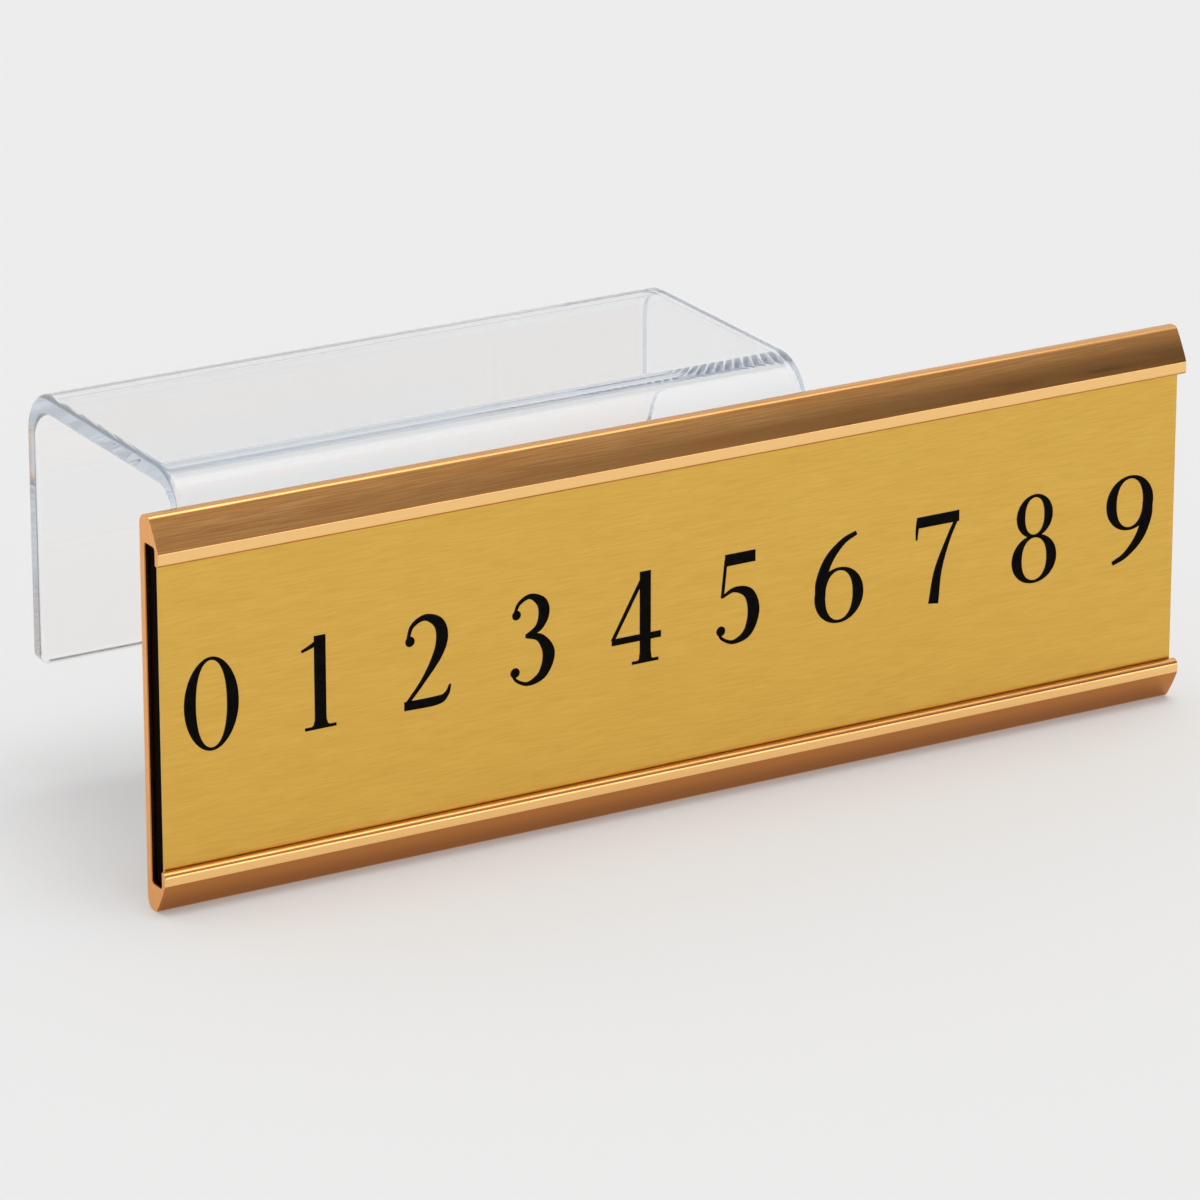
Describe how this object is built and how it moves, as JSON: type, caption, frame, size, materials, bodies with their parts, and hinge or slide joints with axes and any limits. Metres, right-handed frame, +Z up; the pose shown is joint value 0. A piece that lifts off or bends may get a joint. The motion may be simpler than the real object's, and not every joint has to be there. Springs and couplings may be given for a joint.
{
  "type": "cubicle name plate",
  "caption": "Clear saddle bracket that hangs over a partition's top edge, with a metal channel on its front leg that holds a slide-in two-ply name plate.",
  "frame": {"origin": "middle of the bracket's underside, where it sits on the partition's top edge", "axes": "+X to the right along the plate, -Y towards the front, +Z up"},
  "size_m": [0.2174, 0.0702, 0.079],
  "materials": {
    "clear_acrylic": "clear, polished",
    "copper_anodised_aluminium": "anodised, finely brushed lengthways",
    "brushed_brass": "finely brushed lengthways",
    "black_core": "satin",
    "foam_tape": "matt foam"
  },
  "bodies": {
    "hanger": {"saddle_bracket": "clear_acrylic", "plate_holder": "copper_anodised_aluminium", "tape_upper": "foam_tape", "tape_lower": "foam_tape"},
    "plate": {"plate_face": "brushed_brass", "plate_core": "black_core"}
  },
  "joints": [
    {"name": "plate_slide", "type": "slide", "parent": "hanger", "child": "plate", "axis": [1, 0, 0], "range_m": [-0.217, 0.217]}
  ]
}
